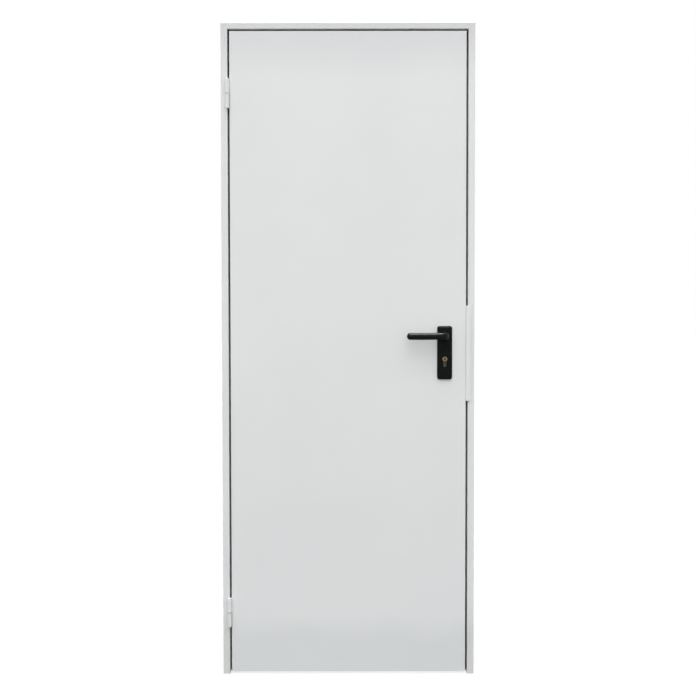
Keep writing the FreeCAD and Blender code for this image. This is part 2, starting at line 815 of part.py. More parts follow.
# Pry guard: angle on the leaf's lock edge that laps over the frame in front of the bolts
guard_body = new_body("pry_guard")
guard_low = size["guard_middle"] - size["guard_length"] / 2
guard_back = front - size["guard_stand"]
guard_front = guard_back - size["guard_sheet"]
guard_end = leaf_right + size["guard_width"]
guard_leg = leaf_right + size["guard_sheet"]
guard_sketch = sketch_on(guard_body, "XY_Plane", guard_low)
outline(guard_sketch, [
    (leaf_right, front + size["guard_seat"]), (leaf_right, guard_front), (guard_end, guard_front),
    (guard_end, guard_back), (guard_leg, guard_back), (guard_leg, front + size["guard_seat"]),
])
guard_pad = pad(guard_body, guard_sketch, size["guard_length"])
guard_ends = [(guard_end, guard_low), (guard_end, guard_low + size["guard_length"])]
guard_ended = round_edges(
    guard_body, guard_pad, edges_along(guard_pad.Shape, "Y", guard_ends), size["guard_corner"])
guard_outer = edges_along(guard_ended.Shape, "Z", [(leaf_right, guard_front)])
guard_folded = round_edges(guard_body, guard_ended, guard_outer, size["guard_bend"] + size["guard_sheet"])
guard_inner = edges_along(guard_folded.Shape, "Z", [(guard_leg, guard_back)])
round_edges(guard_body, guard_folded, guard_inner, size["guard_bend"])
keep("pry_guard", guard_body)

# Every object has to be sound before anything is written
doc.recompute()
for thing in doc.Objects:
    if "Invalid" in thing.State or "Error" in thing.State:
        raise RuntimeError("object failed: %s %s" % (thing.Name, thing.State))
for label, thing in pieces.items():
    if thing.Shape.isNull() or not thing.Shape.isValid() or len(thing.Shape.Solids) != 1:
        raise RuntimeError("piece is not one sound solid: " + label)

os.makedirs("parts", exist_ok=True)
for label, thing in pieces.items():
    thing.Shape.exportStep("parts/%s.step" % label)
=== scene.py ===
import math

import bpy
import numpy as np
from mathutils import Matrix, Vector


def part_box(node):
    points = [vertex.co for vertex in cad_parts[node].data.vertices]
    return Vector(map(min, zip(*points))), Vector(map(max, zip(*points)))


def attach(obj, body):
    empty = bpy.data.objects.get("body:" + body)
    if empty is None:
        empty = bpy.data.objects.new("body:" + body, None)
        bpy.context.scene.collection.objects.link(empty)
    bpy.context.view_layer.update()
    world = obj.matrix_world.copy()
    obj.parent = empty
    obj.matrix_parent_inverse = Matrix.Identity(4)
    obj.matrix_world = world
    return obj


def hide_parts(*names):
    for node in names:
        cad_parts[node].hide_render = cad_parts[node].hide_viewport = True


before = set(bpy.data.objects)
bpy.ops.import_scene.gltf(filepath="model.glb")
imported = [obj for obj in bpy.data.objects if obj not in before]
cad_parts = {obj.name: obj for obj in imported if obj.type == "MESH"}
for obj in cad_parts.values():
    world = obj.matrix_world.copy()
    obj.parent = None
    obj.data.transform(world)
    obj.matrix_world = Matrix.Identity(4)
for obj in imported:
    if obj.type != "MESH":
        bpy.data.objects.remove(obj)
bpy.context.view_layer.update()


# Frame: three lengths of folded 1.5 mm sheet, mitred and welded at the upper corners.
# The welds are ground nearly flush, and the whole frame is sprayed in white semi-gloss enamel.
def add_node(tree, kind, sockets=(), **settings):
    """A shader node: settings are its properties, sockets its inputs, each a value or what feeds it."""
    node = tree.nodes.new(kind)
    for name, value in settings.items():
        setattr(node, name, value)
    for name, value in dict(sockets).items():
        if isinstance(value, bpy.types.NodeSocket):
            tree.links.new(value, node.inputs[name])
        else:
            node.inputs[name].default_value = value
    return node


def blend_colour(tree, share, first, second):
    """The first colour turning into the second as share goes from 0 to 1.

    The mixing node takes its colours at the sockets 6 and 7 and gives the blend at its output 2.
    """
    node = add_node(tree, "ShaderNodeMix", {0: share, 6: first, 7: second}, data_type="RGBA")
    return node.outputs[2]


def ramp(tree, value, low, high, start=0.0, end=1.0):
    """A value from low to high carried over to start to end, smoothly and no further."""
    sockets = {"Value": value, "From Min": low, "From Max": high, "To Min": start, "To Max": end}
    node = add_node(tree, "ShaderNodeMapRange", sockets, interpolation_type="SMOOTHSTEP")
    return node.outputs["Result"]


def maths(tree, operation, *values):
    """Values put together by one operation."""
    return add_node(tree, "ShaderNodeMath", dict(enumerate(values)), operation=operation).outputs[0]


def noise(tree, spot, waves, detail=2.0):
    """Soft noise from 0 to 1, with so many waves a metre."""
    return add_node(tree, "ShaderNodeTexNoise", {"Vector": spot, "Scale": waves, "Detail": detail}).outputs[0]


def new_group(name, inputs, outputs):
    """An empty shader group with named sockets, and its two end nodes."""
    group = bpy.data.node_groups.new(name, "ShaderNodeTree")
    for label, (kind, start) in inputs.items():
        group.interface.new_socket(label, in_out="INPUT", socket_type=kind).default_value = start
    for label, kind in outputs.items():
        group.interface.new_socket(label, in_out="OUTPUT", socket_type=kind)
    return group, group.nodes.new("NodeGroupInput").outputs, group.nodes.new("NodeGroupOutput").inputs


def new_material(name):
    """A material with its tree, its shader and the place on the piece that patterns read."""
    material = bpy.data.materials.new(name)
    material.use_nodes = True
    tree = material.node_tree
    spot = add_node(tree, "ShaderNodeTexCoord").outputs["Object"]
    return material, tree, tree.nodes["Principled BSDF"], spot


def roughen(tree, shader, height, depth):
    """Surface relief on top of any that is there: a height from 0 to 1, so many metres deep."""
    bump = add_node(tree, "ShaderNodeBump", {"Height": height, "Distance": depth, "Strength": 1.0})
    for link in shader.inputs["Normal"].links:
        tree.links.new(link.from_socket, bump.inputs["Normal"])
    tree.links.new(bump.outputs["Normal"], shader.inputs["Normal"])


def dress(material, *names):
    """Give CAD nodes a material."""
    for name in names:
        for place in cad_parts[name].material_slots:
            place.material = material


# Sprayed enamel: fine orange peel and a slow drift in tone and gloss, with painted shade in a band under the
# head, a gentle painted shade lower down and more of it near the floor. Heights are metres above the floor,
# and the painted shade also makes the gloss duller.
PEEL_WAVES, PEEL_DEPTH = 520.0, 0.000008
SHADE_RAGGED, FALLOFF_FULL, HEAD_SHADOW_BAND, SHADE_DULLS = 0.09, 0.3, 0.16, 0.25
enamel, given, result = new_group(
    "sprayed_enamel",
    {"Spot": ("NodeSocketVector", (0, 0, 0)), "Pale": ("NodeSocketColor", (0.8, 0.8, 0.8, 1)),
     "Drift": ("NodeSocketColor", (0.7, 0.7, 0.7, 1)), "Shade": ("NodeSocketColor", (0.5, 0.5, 0.5, 1)),
     "Shade Height": ("NodeSocketFloat", 0.2), "Shade Share": ("NodeSocketFloat", 0.5),
     "Falloff Height": ("NodeSocketFloat", 1.1), "Falloff Share": ("NodeSocketFloat", 0.15),
     "Head Shadow Height": ("NodeSocketFloat", 2.0), "Head Shadow Share": ("NodeSocketFloat", 0.3),
     "Gloss Low": ("NodeSocketFloat", 0.31), "Gloss High": ("NodeSocketFloat", 0.43)},
    {"Color": "NodeSocketColor", "Roughness": "NodeSocketFloat", "Height": "NodeSocketFloat"})
drift = ramp(enamel, noise(enamel, given["Spot"], waves=2.6, detail=3.0), low=0.35, high=0.7)
tone = blend_colour(enamel, drift, given["Pale"], given["Drift"])
level = add_node(enamel, "ShaderNodeSeparateXYZ", {0: given["Spot"]}).outputs["Z"]
# Painted shade: a ragged band near the floor, a gentle fall lower down and a band under the head, each a
# share of the shade colour
uneven = noise(enamel, given["Spot"], waves=5.0, detail=4.0)
ragged = maths(enamel, "MULTIPLY_ADD", uneven, SHADE_RAGGED, -SHADE_RAGGED / 2)
foot_shade = ramp(
    enamel, maths(enamel, "ADD", level, ragged), low=maths(enamel, "MULTIPLY", given["Shade Height"], 0.5),
    high=given["Shade Height"], start=given["Shade Share"], end=0.0)
falloff = ramp(enamel, level, low=FALLOFF_FULL, high=given["Falloff Height"], start=given["Falloff Share"], end=0.0)
head_shadow = ramp(
    enamel, level, low=maths(enamel, "SUBTRACT", given["Head Shadow Height"], HEAD_SHADOW_BAND),
    high=given["Head Shadow Height"], end=given["Head Shadow Share"])
painted_shade = maths(enamel, "ADD", maths(enamel, "ADD", foot_shade, falloff), head_shadow)
gloss = ramp(
    enamel, noise(enamel, given["Spot"], waves=9.0, detail=4.0), low=0.3, high=0.7,
    start=given["Gloss Low"], end=given["Gloss High"])
# The painted shade darkens the tone towards the shade colour and also makes the gloss duller
enamel.links.new(blend_colour(enamel, painted_shade, tone, given["Shade"]), result["Color"])
enamel.links.new(maths(enamel, "MULTIPLY_ADD", painted_shade, SHADE_DULLS, gloss), result["Roughness"])
enamel.links.new(noise(enamel, given["Spot"], waves=PEEL_WAVES, detail=1.0), result["Height"])


def grouped_material(name, group, relief, values):
    """A material whose colour, roughness and relief come from a group, with its own values on the sockets."""
    material, tree, shader, spot = new_material(name)
    face = add_node(tree, "ShaderNodeGroup", {"Spot": spot, **values}, node_tree=group)
    tree.links.new(face.outputs["Color"], shader.inputs["Base Color"])
    tree.links.new(face.outputs["Roughness"], shader.inputs["Roughness"])
    roughen(tree, shader, face.outputs["Height"], relief)
    return material


# Painted shade on the frame: darker near the floor, gently darker lower down and darker along the head
frame_enamel = grouped_material("frame_enamel", enamel, PEEL_DEPTH, {
    "Pale": (0.725, 0.74, 0.735, 1), "Drift": (0.695, 0.71, 0.705, 1), "Shade": (0.50, 0.505, 0.49, 1),
    "Shade Height": 0.22, "Shade Share": 0.40, "Falloff Height": 1.3, "Falloff Share": 0.175,
    "Head Shadow Height": 2.03, "Head Shadow Share": 0.42})
dress(frame_enamel, "hinge_jamb", "lock_jamb", "frame_head")

SHARP_ANGLE = math.radians(50)


def add_piece(name, rows, material, body, ring=False):
    """A closed skin over rows of points, each row a loop, right-handed about the way the rows go.

    Neighbouring rows are joined by four-sided faces. The last row joins the first on a ring; otherwise
    the first and the last row are closed by triangles to their middles.
    """
    count, around = rows.shape[:2]
    here = np.arange(count * around).reshape(count, around)
    ahead = np.roll(here, -1, axis=0)
    faces = np.stack([here, np.roll(here, -1, axis=1), np.roll(ahead, -1, axis=1), ahead], axis=-1)
    points = rows.reshape(-1, 3)
    if ring:
        faces = faces.reshape(-1, 4).tolist()
    else:
        ends = np.array([[count * around], [count * around + 1]]).repeat(around, axis=1)
        start_fan = np.stack([ends[0], np.roll(here[0], -1), here[0]], axis=-1)
        end_fan = np.stack([ends[1], here[-1], np.roll(here[-1], -1)], axis=-1)
        faces = faces[:-1].reshape(-1, 4).tolist() + start_fan.tolist() + end_fan.tolist()
        points = np.concatenate([points, rows[[0, -1]].mean(axis=1)])
    mesh = bpy.data.meshes.new(name)
    mesh.from_pydata(points.tolist(), [], faces)
    mesh.shade_smooth()
    mesh.set_sharp_from_angle(angle=SHARP_ANGLE)
    mesh.materials.append(material)
    piece = bpy.data.objects.new(name, mesh)
    bpy.context.collection.objects.link(piece)
    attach(piece, body)
    return piece


def carried(middles, side, up, across):
    """A loop of (sideways, upwards) points carried along a line of middles; side x up is the way it goes."""
    side, up = np.asarray(side, float), np.asarray(up, float)
    return middles[:, None] + across[..., :1] * side[..., None, :] + across[..., 1:] * up[..., None, :]


def oval(half_width, half_height, steps=24):
    """A loop of points on an ellipse."""
    turn = np.linspace(0, 2 * np.pi, steps, endpoint=False)
    return np.stack([half_width * np.cos(turn), half_height * np.sin(turn)], axis=-1)


def weld_swell(run, ends, fullness, ripple, waves):
    """A bead's thickness along its run, as a share of the full one.

    It is a half wave to a power below 1, so that it dies out only near the ends, times 1 plus ripples.
    """
    half_wave = np.sin(np.linspace(ends, np.pi - ends, len(run)))
    return half_wave ** fullness * (1 + ripple * np.sin(run * waves))


# Mitre welds: each is a flat ground bead, an ellipse carried down the mitre and dying out at both ends
FRONTWARDS = np.array([0, -1, 0])
WELD_HALF, WELD_PROUD, WELD_START, WELD_END, WELD_ROWS = 0.0016, 0.00022, 0.0025, 0.0185, 40
head_low, head_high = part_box("frame_head")
along = np.linspace(WELD_START, WELD_END, WELD_ROWS)
swell = weld_swell(along, ends=0.15, fullness=0.35, ripple=0.12, waves=2600)
weld_loops = oval(WELD_HALF, WELD_PROUD) * swell[:, None, None]
for side_name, corner_x, inward in (("hinge", head_low.x, 1.0), ("lock", head_high.x, -1.0)):
    middles = np.stack(
        [corner_x + inward * along, np.full_like(along, head_low.y), head_high.z - along], axis=-1)
    way = np.array([inward, 0, -1]) / np.sqrt(2)
    bead = carried(middles, np.cross(FRONTWARDS, way), FRONTWARDS, weld_loops)
    add_piece(side_name + "_mitre_weld", bead, frame_enamel, "frame")

# Seals: black rubber strips pressed into the corner of the rebate.
# The extruded rubber is matt, with three fine ribs along its length.
seal_rubber, tree, shader, spot = new_material("seal_rubber")
grime = ramp(tree, noise(tree, spot, waves=30.0, detail=4.0), low=0.4, high=0.75)
blacks = blend_colour(tree, grime, (0.010, 0.010, 0.010, 1), (0.022, 0.021, 0.020, 1))
matt = ramp(tree, noise(tree, spot, waves=120.0), low=0.3, high=0.7, start=0.62, end=0.8)
tree.links.new(blacks, shader.inputs["Base Color"])
tree.links.new(matt, shader.inputs["Roughness"])
roughen(tree, shader, noise(tree, spot, waves=900.0), depth=0.00005)
dress(seal_rubber, "hinge_seal", "lock_seal", "head_seal")

# The ribs are a squared wave with three crests that dies out at the strip's edges
RIB_HALF, RIB_PROUD, RIB_SUNK, RIB_FROM_START, RIB_FROM_END = 0.0034, 0.0007, 0.0006, 0.012, 0.002
RIB_COUNT, RIB_STEPS = 3, 41
spread = np.linspace(-1, 1, RIB_STEPS)
crests = RIB_PROUD * np.sin(RIB_COUNT / 2 * np.pi * spread) ** 2 * (1 - spread ** 4)
rib_loop = np.concatenate([
    np.stack([RIB_HALF * spread, crests], axis=-1)[::-1],
    np.stack([RIB_HALF * spread[1:-1], np.full_like(spread[1:-1], -RIB_SUNK)], axis=-1)])
for name, way in (("hinge_seal", (0, 0, 1)), ("lock_seal", (0, 0, 1)), ("head_seal", (1, 0, 0))):
    low, high = (np.array(corner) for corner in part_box(name))
    middle = (low + high) / 2
    run = np.array(way, float)
    ends = np.stack([
        np.where(run > 0, low + RIB_FROM_START, middle), np.where(run > 0, high - RIB_FROM_END, middle)])
    ends[:, 1] = low[1]
    ribs = carried(ends, np.cross(FRONTWARDS, run), FRONTWARDS, rib_loop)
    add_piece(name + "_ribs", ribs, seal_rubber, "frame")

# Wall anchors and strike box: cut from zinc-coated strip and spot-welded behind the frame.
# The coating shows its crystals as a faint patchwork of greys.
zinc_coat, tree, shader, spot = new_material("zinc_coat")
crystals = add_node(tree, "ShaderNodeTexVoronoi", {"Vector": spot, "Scale": 130.0})
crystal = add_node(tree, "ShaderNodeSeparateColor", {0: crystals.outputs["Color"]}).outputs[0]
greys = blend_colour(tree, crystal, (0.32, 0.33, 0.34, 1), (0.48, 0.49, 0.50, 1))
tree.links.new(greys, shader.inputs["Base Color"])
tree.links.new(ramp(tree, crystal, low=0.0, high=1.0, start=0.36, end=0.56), shader.inputs["Roughness"])
shader.inputs["Metallic"].default_value = 1.0
roughen(tree, shader, noise(tree, spot, waves=700.0), depth=0.00002)
dress(
    zinc_coat, "hinge_anchor_low", "hinge_anchor_middle", "hinge_anchor_top",
    "lock_anchor_low", "lock_anchor_middle", "lock_anchor_top", "strike_box")

HEAD_SUNK, HEAD_FALL, HEAD_MIDDLE, RECESS_DEEP = 0.0003, 0.7, 0.02, 0.75


def domed_head(name, middle, outwards, up, radius, proud, recess, material, body, fineness=40):
    """A low domed head with a recess, as rings that shrink from its rim to its middle.

    Height is a parabola over the radius, less the recess's share of three quarters of the head.
    """
    outwards, up = np.array(outwards, float), np.array(up, float)
    share = np.concatenate([[1.0], np.linspace(1, HEAD_MIDDLE, fineness)])
    spread = oval(1, 1, steps=2 * fineness + 16) * share[:, None, None]
    height = proud * (1 - HEAD_FALL * share ** 2)
    height[0] = -HEAD_SUNK
    height = height[:, None] - recess(spread) * RECESS_DEEP * proud
    side = np.cross(up, outwards)
    across = (spread[..., :1] * side + spread[..., 1:] * up) * radius
    add_piece(name, across + height[..., None] * outwards + np.array(middle), material, body)


def inside(distance, limit, slope):
    """1 up to the limit, falling evenly to 0 over the slope beyond it."""
    return np.clip((limit - distance) / slope + 1, 0, 1)


def weld_dent(spread):
    """1 in the round dent that the welding tip leaves, falling to 0 at its rim; spread is in head radii."""
    return inside(np.hypot(spread[..., 0], spread[..., 1]), limit=0.66, slope=0.16)


SPOT_RADIUS, SPOT_PROUD, SPOT_IN, SPOT_SPREAD = 0.0032, 0.0005, 0.0130, 0.0085
for side_name, inward in (("hinge", 1), ("lock", -1)):
    for level_name in ("low", "middle", "top"):
        anchor_name = "%s_anchor_%s" % (side_name, level_name)
        low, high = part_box(anchor_name)
        face_x = high.x if inward > 0 else low.x
        for place_name, rise in (("upper", SPOT_SPREAD), ("lower", -SPOT_SPREAD)):
            domed_head(
                anchor_name + "_spot_weld_" + place_name,
                (face_x, low.y + SPOT_IN, (low.z + high.z) / 2 + rise), (inward, 0, 0), (0, 0, 1),
                SPOT_RADIUS, SPOT_PROUD, weld_dent, zinc_coat, "frame", fineness=12)

# Hinges: turned steel barrels with a strap welded on, painted with the door.
# A bright steel pin stands in the frame's barrel, and a nylon washer carries the leaf's.
dress(frame_enamel, "upper_hinge_frame_knuckle", "lower_hinge_frame_knuckle")

# Worked metal: fine lines along its height and stains that are darker and duller
LINE_STRETCH, LINE_DEPTH, STAIN_DULLS = (1.0, 1.0, 0.06), 0.00001, 0.5
worked_metal, given, result = new_group(
    "worked_metal",
    {"Spot": ("NodeSocketVector", (0, 0, 0)), "Pale": ("NodeSocketColor", (0.7, 0.7, 0.7, 1)),
     "Dull": ("NodeSocketColor", (0.4, 0.4, 0.4, 1)), "Rough Low": ("NodeSocketFloat", 0.25),
     "Rough High": ("NodeSocketFloat", 0.5)},
    {"Color": "NodeSocketColor", "Roughness": "NodeSocketFloat", "Height": "NodeSocketFloat"})
stretched = add_node(worked_metal, "ShaderNodeMapping", {"Vector": given["Spot"], "Scale": LINE_STRETCH})
lines = noise(worked_metal, stretched.outputs[0], waves=2600.0, detail=3.0)
stain = ramp(worked_metal, noise(worked_metal, given["Spot"], waves=60.0, detail=5.0), low=0.42, high=0.72)
dull = ramp(
    worked_metal, maths(worked_metal, "MULTIPLY_ADD", stain, STAIN_DULLS, lines), low=0.3, high=1.1,
    start=given["Rough Low"], end=given["Rough High"])
worked_metal.links.new(blend_colour(worked_metal, stain, given["Pale"], given["Dull"]), result["Color"])
worked_metal.links.new(dull, result["Roughness"])
worked_metal.links.new(lines, result["Height"])


def metal_material(name, pale, dull, rough_low, rough_high):
    """A worked metal with its own tones and gloss."""
    material = grouped_material(name, worked_metal, LINE_DEPTH, {
        "Pale": pale, "Dull": dull, "Rough Low": rough_low, "Rough High": rough_high})
    material.node_tree.nodes["Principled BSDF"].inputs["Metallic"].default_value = 1.0
    return material


bright_steel = metal_material(
    "bright_steel", pale=(0.53, 0.53, 0.525, 1), dull=(0.43, 0.425, 0.42, 1), rough_low=0.30, rough_high=0.44)
dress(bright_steel, "upper_hinge_pin", "lower_hinge_pin")

# Moulded nylon: a fine grain, with patches that wear has left paler and duller
GRAIN_WAVES, GRAIN_DEPTH = 1500.0, 0.00001
nylon, given, result = new_group(
    "moulded_nylon",
    {"Spot": ("NodeSocketVector", (0, 0, 0)), "Deep": ("NodeSocketColor", (0.01, 0.01, 0.01, 1)),
     "Worn": ("NodeSocketColor", (0.02, 0.02, 0.02, 1)), "Patches": ("NodeSocketFloat", 45.0),
     "Rough Low": ("NodeSocketFloat", 0.4), "Rough High": ("NodeSocketFloat", 0.5)},
    {"Color": "NodeSocketColor", "Roughness": "NodeSocketFloat", "Height": "NodeSocketFloat"})
worn = ramp(nylon, noise(nylon, given["Spot"], given["Patches"], detail=4.0), low=0.35, high=0.7)
dull = ramp(nylon, worn, low=0.0, high=1.0, start=given["Rough Low"], end=given["Rough High"])
nylon.links.new(blend_colour(nylon, worn, given["Deep"], given["Worn"]), result["Color"])
nylon.links.new(dull, result["Roughness"])
nylon.links.new(noise(nylon, given["Spot"], waves=GRAIN_WAVES), result["Height"])
washer_nylon = grouped_material("washer_nylon", nylon, GRAIN_DEPTH, {
    "Deep": (0.035, 0.035, 0.034, 1), "Worn": (0.08, 0.078, 0.075, 1), "Patches": 300.0,
    "Rough Low": 0.4, "Rough High": 0.6})
dress(washer_nylon, "upper_hinge_washer", "lower_hinge_washer")

# Leaf: two folded trays of thin sheet, the back one pushed into the edges of the front one.
# The broad faces are sprayed white; thin sheet glued to foam stays a little wavy.
SHEET_WAVES, SHEET_DEPTH = 5.0, 0.0006
# Painted shade on the leaf: darker near the floor, gently darker lower down and darker under the head
leaf_enamel = grouped_material("leaf_enamel", enamel, PEEL_DEPTH, {
    "Pale": (0.735, 0.75, 0.745, 1), "Drift": (0.715, 0.73, 0.73, 1), "Shade": (0.560, 0.578, 0.596, 1),
    "Shade Height": 0.20, "Shade Share": 0.44, "Falloff Height": 1.1, "Falloff Share": 0.245,
    "Head Shadow Height": 2.01, "Head Shadow Share": 0.46})
tree = leaf_enamel.node_tree
spot = tree.nodes["Texture Coordinate"].outputs["Object"]
roughen(tree, tree.nodes["Principled BSDF"], noise(tree, spot, waves=SHEET_WAVES), SHEET_DEPTH)
dress(
    leaf_enamel, "leaf_front_skin", "leaf_back_skin", "upper_hinge_leaf_knuckle", "lower_hinge_leaf_knuckle",
    "pry_guard")

# Hinge ends and hinge welds: each barrel ends in a pressed dome, a quarter ellipse turned about the pin.
# Each strap is welded along its back edge; the bead has the ripples of a hand weld, painted over.
CAP_RISE, CAP_LAP, CAP_TUCK, CAP_CLOSE, CAP_ROWS = 0.0016, 0.0006, 0.94, 0.49, 12
BEAD_HALF, BEAD_SHORT, BEAD_ROWS = 0.0014, 0.003, 90
lift = np.linspace(0, CAP_CLOSE * np.pi, CAP_ROWS)
cap_reach = np.concatenate([[CAP_TUCK], np.cos(lift)])
cap_rise = np.concatenate([[-CAP_LAP], CAP_RISE * np.sin(lift)])


def upright_line(x, y, z):
    """A line of points at one x and one y and at every z."""
    return np.stack([np.full_like(z, x), np.full_like(z, y), z], axis=-1)


for hinge_name in ("upper", "lower"):
    washer_low, washer_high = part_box(hinge_name + "_hinge_washer")
    pin_low, pin_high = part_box(hinge_name + "_hinge_pin")
    radius = (washer_high.x - washer_low.x) / 2
    axis = (pin_low + pin_high) / 2
    cap_loops = oval(radius, radius, steps=48) * cap_reach[:, None, None]
    for body, upward, bead_off, paint, slot in (
            ("leaf", 1, 0.0002, leaf_enamel, "leaf_paint"),
            ("frame", -1, 0.0003, frame_enamel, "frame_paint")):
        name = "%s_hinge_%s_knuckle" % (hinge_name, body)
        low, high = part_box(name)
        end_z, edge_x = (high.z, high.x) if body == "leaf" else (low.z, low.x)
        middles = upright_line(axis.x, axis.y, end_z + upward * cap_rise)
        add_piece(name + "_cap", carried(middles, (1, 0, 0), (0, upward, 0), cap_loops), paint, body)
        weld_z = np.linspace(low.z + BEAD_SHORT, high.z - BEAD_SHORT, BEAD_ROWS)
        middles = upright_line(edge_x + bead_off, high.y + bead_off, weld_z)
        swell = weld_swell(weld_z, ends=0.1, fullness=0.2, ripple=0.10, waves=2700)
        bead_loops = oval(BEAD_HALF, BEAD_HALF, steps=16) * swell[:, None, None]
        add_piece(name + "_weld", carried(middles, (1, 0, 0), (0, 1, 0), bead_loops), paint, body)

# Leaf filling: zinc-coated channels close the top and the bottom, and rigid foam fills the rest.
# The foam is yellowish, cut with a wire, so its cells lie open.
dress(zinc_coat, "leaf_top_channel", "leaf_bottom_channel")
core_foam, tree, shader, spot = new_material("core_foam")
cells = add_node(tree, "ShaderNodeTexVoronoi", {"Vector": spot, "Scale": 650.0}).outputs["Distance"]
yellows = blend_colour(
    tree, noise(tree, spot, waves=12.0, detail=4.0), (0.66, 0.56, 0.33, 1), (0.76, 0.67, 0.45, 1))
tree.links.new(yellows, shader.inputs["Base Color"])
tree.links.new(ramp(tree, cells, low=0.0, high=0.8, start=0.75, end=0.95), shader.inputs["Roughness"])
roughen(tree, shader, cells, depth=0.0004)
dress(core_foam, "leaf_core")

# Lock: a zinc-coated case let into the leaf's edge behind a bright steel face plate.
# Latch and dead bolt stand level with the plate. Two screws hold the plate, and a third the lock cylinder.
dress(zinc_coat, "lock_case")
dress(bright_steel, "lock_forend", "latch_bolt", "dead_bolt", "spindle")


def cross_recess(spread):
    """1 inside two crossed bars, falling to 0 over sloping walls; spread is in head radii.

    A bar is its share across its width times that along its length, and the greater of the two bars counts.
    """
    arm, reach, slope = 0.15, 0.58, 0.075
    bars = [
        inside(np.abs(spread[..., one]), arm, slope) * inside(np.abs(spread[..., other]), reach, slope)
        for one, other in ((0, 1), (1, 0))]
    return np.maximum(*bars)


FOREND_SCREW_IN, CYLINDER_SCREW_UP = 0.0095, 0.0015
forend_low, forend_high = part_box("lock_forend")
forend_y = (forend_low.y + forend_high.y) / 2
for screw_name, screw_z, radius, proud in (
        ("forend_screw_upper", forend_high.z - FOREND_SCREW_IN, 0.0042, 0.0013),
        ("forend_screw_lower", forend_low.z + FOREND_SCREW_IN, 0.0042, 0.0013),
        ("cylinder_screw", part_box("lock_cylinder")[0].z + CYLINDER_SCREW_UP, 0.0036, 0.0012)):
    domed_head(
        screw_name, (forend_high.x, forend_y, screw_z), (1, 0, 0), (0, 0, 1), radius, proud, cross_recess,
        bright_steel, "leaf")

# Handle set: moulded black nylon plates with a rounded rim, and levers of the same stuff with a bent neck.
# The nylon is satin with a fine grain. A collar on each plate guides the lever's neck, two screws go through
# the back plate, and a grub screw holds each lever.
plate_nylon = grouped_material("plate_nylon", nylon, GRAIN_DEPTH, {
    "Deep": (0.0034, 0.0044, 0.0040, 1), "Worn": (0.0060, 0.0070, 0.0064, 1),
    "Rough Low": 0.44, "Rough High": 0.54})
plate_nylon.node_tree.nodes["Principled BSDF"].inputs["Specular IOR Level"].default_value = 0.045
lever_nylon = grouped_material("lever_nylon", nylon, GRAIN_DEPTH, {
    "Deep": (0.0034, 0.0044, 0.0042, 1), "Worn": (0.0060, 0.0070, 0.0066, 1),
    "Rough Low": 0.30, "Rough High": 0.37})
lever_nylon.node_tree.nodes["Principled BSDF"].inputs["Specular IOR Level"].default_value = 0.06
dress(plate_nylon, "front_plate", "back_plate")

# Corners of the rim: four quarter turns, each with the signs of its quarter
CORNER_STEPS, ARC_STEPS = 12, 16
quarters = np.arange(4)[:, None] * np.pi / 2 + np.linspace(0, np.pi / 2, CORNER_STEPS)
corner_turn = np.stack([np.cos(quarters.ravel()), np.sin(quarters.ravel())], axis=-1)
quarter_middle = quarters.mean(axis=1)
quarter_sign = np.sign(np.stack([np.cos(quarter_middle), np.sin(quarter_middle)], axis=-1))
corner_sign = quarter_sign.repeat(CORNER_STEPS, axis=0)
arc = np.linspace(0, np.pi / 2, ARC_STEPS)

# The lever's middle line has four stretches, each with its own rows: neck, elbow, grip and tip
NECK_ROWS, ELBOW_ROWS, GRIP_ROWS, TIP_ROWS, TIP_CLOSE = 16, 25, 30, 24, 0.495
neck = np.linspace(0, 1, NECK_ROWS)
elbow = np.linspace(0, np.pi / 2, ELBOW_ROWS)[1:]
grip = np.linspace(0, 1, GRIP_ROWS)[1:]
tip = np.sin(np.linspace(0, TIP_CLOSE * np.pi, TIP_ROWS))[1:]


def along_lever(*stretches):
    """One value for each row of the lever, given for its four stretches as arrays or as single numbers."""
    return np.concatenate([
        np.broadcast_to(value, rows.shape) for value, rows in zip(stretches, (neck, elbow, grip, tip))])


# The neck swells to the grip's height by a smooth step, the depth narrows round the elbow, and the tip closes
# as an ellipse. The elbow's section is an ellipse to a power below 1, so it is squarer, and over the first
# third of the grip it turns into a plain ellipse.
LEVER_HALF, LEVER_DEPTH_HALF, NECK_RADIUS, ELBOW_RADIUS, TIP_LENGTH = 0.0108, 0.0100, 0.009, 0.0115, 0.0100
ELBOW_SQUARE, SWELL_START, SWELL_LENGTH = 0.30, 0.45, 0.4
GRUB_OUT, GRUB_RADIUS, GRUB_PROUD = 0.0138, 0.0025, 0.0010
swollen = np.clip((neck - SWELL_START) / SWELL_LENGTH, 0, 1)
swollen = swollen ** 2 * (3 - 2 * swollen)
tall = NECK_RADIUS + along_lever(swollen, 1, 1, 1) * (LEVER_HALF - NECK_RADIUS)
flatness = LEVER_DEPTH_HALF / LEVER_HALF
deep = tall * along_lever(1, 1 - np.sin(elbow) ** 2 * (1 - flatness), flatness, flatness)
taper = along_lever(1, 1, 1, np.sqrt(1 - tip ** 2))
square = 1 - ELBOW_SQUARE * along_lever(swollen, 1, (1 - np.minimum(grip * 3, 1)) ** 2, 0)
round_loop = oval(1, 1, steps=72)
squared_loops = np.sign(round_loop) * np.abs(round_loop) ** square[:, None, None]
lever_loops = squared_loops * np.stack([deep * taper, tall * taper], axis=-1)[:, None]
heading = along_lever(0, elbow, np.pi / 2, np.pi / 2)


def hex_recess(spread):
    """1 inside a hexagon of half the head's width, falling to 0 over steep walls; spread is in head radii.

    A point counts by its farthest reach along three directions a sixth of a turn apart.
    """
    turn = np.arange(3) * np.pi / 3
    across = np.abs(spread[..., :1] * np.cos(turn) + spread[..., 1:] * np.sin(turn)).max(axis=-1)
    return inside(across, limit=0.52, slope=0.06)


def facing(rows, outward):
    """Loops that run the other way on the back of the door, so that the faces point outwards there too."""
    return rows[:, ::-1] if outward > 0 else rows


def standing(flat, depth, outward):
    """Rows of (x, z) points, each row at its own depth."""
    depth = np.broadcast_to(depth[:, None], flat.shape[:2])
    return facing(np.stack([flat[..., 0], depth, flat[..., 1]], axis=-1), outward)


